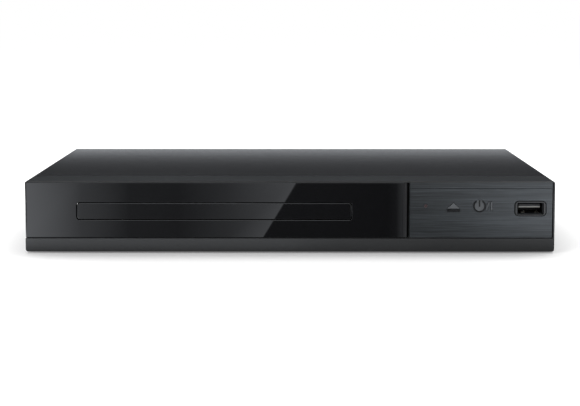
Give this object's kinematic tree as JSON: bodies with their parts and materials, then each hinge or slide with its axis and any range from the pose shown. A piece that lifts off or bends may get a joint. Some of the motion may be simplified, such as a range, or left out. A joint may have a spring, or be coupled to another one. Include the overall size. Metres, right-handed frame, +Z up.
{
  "type": "disc player with tray",
  "caption": "Slim disc player: steel case, gloss front with a motor driven tray, two keys, a USB socket and phono sockets.",
  "frame": {"origin": "middle of the overall box in X and Y, on the surface under the feet in Z", "axes": "+X along the width to the right as seen from the front, -Y out of the front face, +Z up"},
  "size_m": [0.27, 0.1956, 0.037],
  "materials": {
    "case_steel": "fine textured black paint on folded sheet steel",
    "pan_steel": "bare zinc coated sheet steel",
    "matt_black_plastic": "fine textured black ABS",
    "gloss_black_plastic": "polished black moulding",
    "brushed_dark_panel": "dark foil brushed along X",
    "red_lens": "clear dark red moulding",
    "white_plastic": "natural acetal",
    "black_rubber": "matt rubber",
    "green_board": "solder mask on glass epoxy",
    "brown_board": "bare paper phenolic",
    "component_black": "moulded epoxy",
    "capacitor_sleeve": "shrink sleeve",
    "nickel": "nickel plate",
    "zinc_screw": "zinc plated steel",
    "aluminium": "mill finish",
    "copper_winding": "enamelled copper in tape",
    "ferrite": "sintered ferrite",
    "steel_rail": "ground steel rod",
    "motor_can": "drawn plated can",
    "diecast": "bead blasted zinc casting",
    "lens_glass": "coated lens",
    "brass": "turned brass"
  },
  "bodies": {
    "case": {"chassis": "pan_steel", "rear_panel": "case_steel", "top_cover": "case_steel", "front_bezel": "matt_black_plastic", "gloss_window": "gloss_black_plastic", "control_panel": "brushed_dark_panel", "feet": "black_rubber", "case_screws": "zinc_screw", "led_lens": "red_lens", "indicator_led": "white_plastic", "tact_switches": "component_black", "front_board": "green_board", "usb_shell": "nickel", "usb_tongue": "white_plastic", "main_board": "green_board", "board_chips": "component_black", "signal_capacitors": "capacitor_sleeve", "ribbon_sockets": "white_plastic", "front_ribbon": "white_plastic", "board_screws": "zinc_screw", "power_board": "brown_board", "transformer": "copper_winding", "mains_capacitor": "capacitor_sleeve", "line_filter": "ferrite", "heat_sink": "aluminium", "rca_housing": "component_black", "rca_barrels": "nickel", "mains_inlet": "component_black", "inlet_pins": "nickel", "loader_frame": "matt_black_plastic", "loader_screws": "zinc_screw", "clamp_bridge": "pan_steel", "loading_motor": "motor_can", "loading_belt": "black_rubber"},
    "tray": {"tray": "matt_black_plastic", "tray_door": "gloss_black_plastic"},
    "drive_gear": {"drive_gear": "white_plastic"},
    "pulley_gear": {"pulley_gear": "white_plastic"},
    "motor_pulley": {"motor_pulley": "brass"},
    "cam_slider": {"cam_slider": "white_plastic"},
    "traverse": {"lift_frame": "matt_black_plastic", "traverse_plate": "pan_steel", "deck_dampers": "black_rubber", "damper_screws": "zinc_screw", "guide_rails": "steel_rail", "spindle_motor": "motor_can", "feed_motor": "motor_can"},
    "turntable": {"turntable": "matt_black_plastic", "turntable_ring": "black_rubber"},
    "pickup": {"pickup_body": "diecast"},
    "lens": {"lens_holder": "component_black", "objective_lens": "lens_glass"},
    "feed_gear": {"feed_gear": "white_plastic"},
    "feed_pinion": {"feed_pinion": "brass"},
    "clamper": {"clamper": "white_plastic", "clamper_magnet": "ferrite"},
    "eject_key": {"eject_button": "brushed_dark_panel", "eject_plunger": "white_plastic"},
    "power_key": {"power_button": "brushed_dark_panel", "power_plunger": "white_plastic"}
  },
  "joints": [
    {"name": "tray_slide", "type": "slide", "parent": "case", "child": "tray", "axis": [0, -1, 0], "range_m": [0, 0.131]},
    {"name": "drive_gear_spin", "type": "hinge", "parent": "case", "child": "drive_gear", "pos_m": [-0.0912, -0.0756, 0.014], "axis": [0, 0, 1], "range_deg": [-1, 835]},
    {"name": "pulley_gear_spin", "type": "hinge", "parent": "case", "child": "pulley_gear", "pos_m": [-0.07815, -0.08169, 0.014], "axis": [0, 0, 1], "range_deg": [-2504, 2]},
    {"name": "motor_pulley_spin", "type": "hinge", "parent": "case", "child": "motor_pulley", "pos_m": [-0.0345, -0.0798, 0.014], "axis": [0, 0, 1], "range_deg": [-7094, 5]},
    {"name": "traverse_lift", "type": "hinge", "parent": "case", "child": "traverse", "pos_m": [-0.0385, 0.0522, 0.01], "axis": [-1, 0, 0], "range_deg": [0, 3.2]},
    {"name": "cam_slide", "type": "slide", "parent": "case", "child": "cam_slider", "axis": [1, 0, 0], "range_m": [0, 0.012]},
    {"name": "disc_spin", "type": "hinge", "parent": "traverse", "child": "turntable", "pos_m": [-0.0385, -0.02823, 0.01552], "axis": [0, -0.0558, 0.9984], "continuous": true},
    {"name": "pickup_feed", "type": "slide", "parent": "traverse", "child": "pickup", "axis": [0, 0.9984, 0.0558], "range_m": [0, 0.034]},
    {"name": "feed_gear_spin", "type": "hinge", "parent": "traverse", "child": "feed_gear", "pos_m": [-0.0105, 0.01372, 0.01386], "axis": [0, -0.0558, 0.9984], "range_deg": [-558, 1]},
    {"name": "feed_pinion_spin", "type": "hinge", "parent": "traverse", "child": "feed_pinion", "pos_m": [0.0025, 0.01725, 0.01606], "axis": [0, -0.0558, 0.9984], "range_deg": [-2, 2451]},
    {"name": "lens_focus", "type": "slide", "parent": "pickup", "child": "lens", "axis": [0, -0.0558, 0.9984], "range_m": [-0.0006, 0.0006], "stiffness_N_per_m": 50, "springref_m": 0.00013},
    {"name": "clamper_spin", "type": "hinge", "parent": "case", "child": "clamper", "pos_m": [-0.0385, -0.0278, 0.028], "axis": [0, 0, 1], "continuous": true},
    {"name": "eject_press", "type": "slide", "parent": "case", "child": "eject_key", "axis": [0, 1, 0], "range_m": [0, 0.0004], "stiffness_N_per_m": 1500, "springref_m": -0.0004},
    {"name": "power_press", "type": "slide", "parent": "case", "child": "power_key", "axis": [0, 1, 0], "range_m": [0, 0.0004], "stiffness_N_per_m": 1500, "springref_m": -0.0004}
  ],
  "couplings": [
    {"joint": "drive_gear_spin", "follows": "tray_slide", "rad_per_m": 111.11},
    {"joint": "pulley_gear_spin", "follows": "tray_slide", "rad_per_m": -333.33},
    {"joint": "motor_pulley_spin", "follows": "tray_slide", "rad_per_m": -944.44},
    {"joint": "cam_slide", "follows": "traverse_lift", "m_per_rad": 0.21486},
    {"joint": "feed_gear_spin", "follows": "pickup_feed", "rad_per_m": -285.71},
    {"joint": "feed_pinion_spin", "follows": "pickup_feed", "rad_per_m": 1257.1}
  ]
}
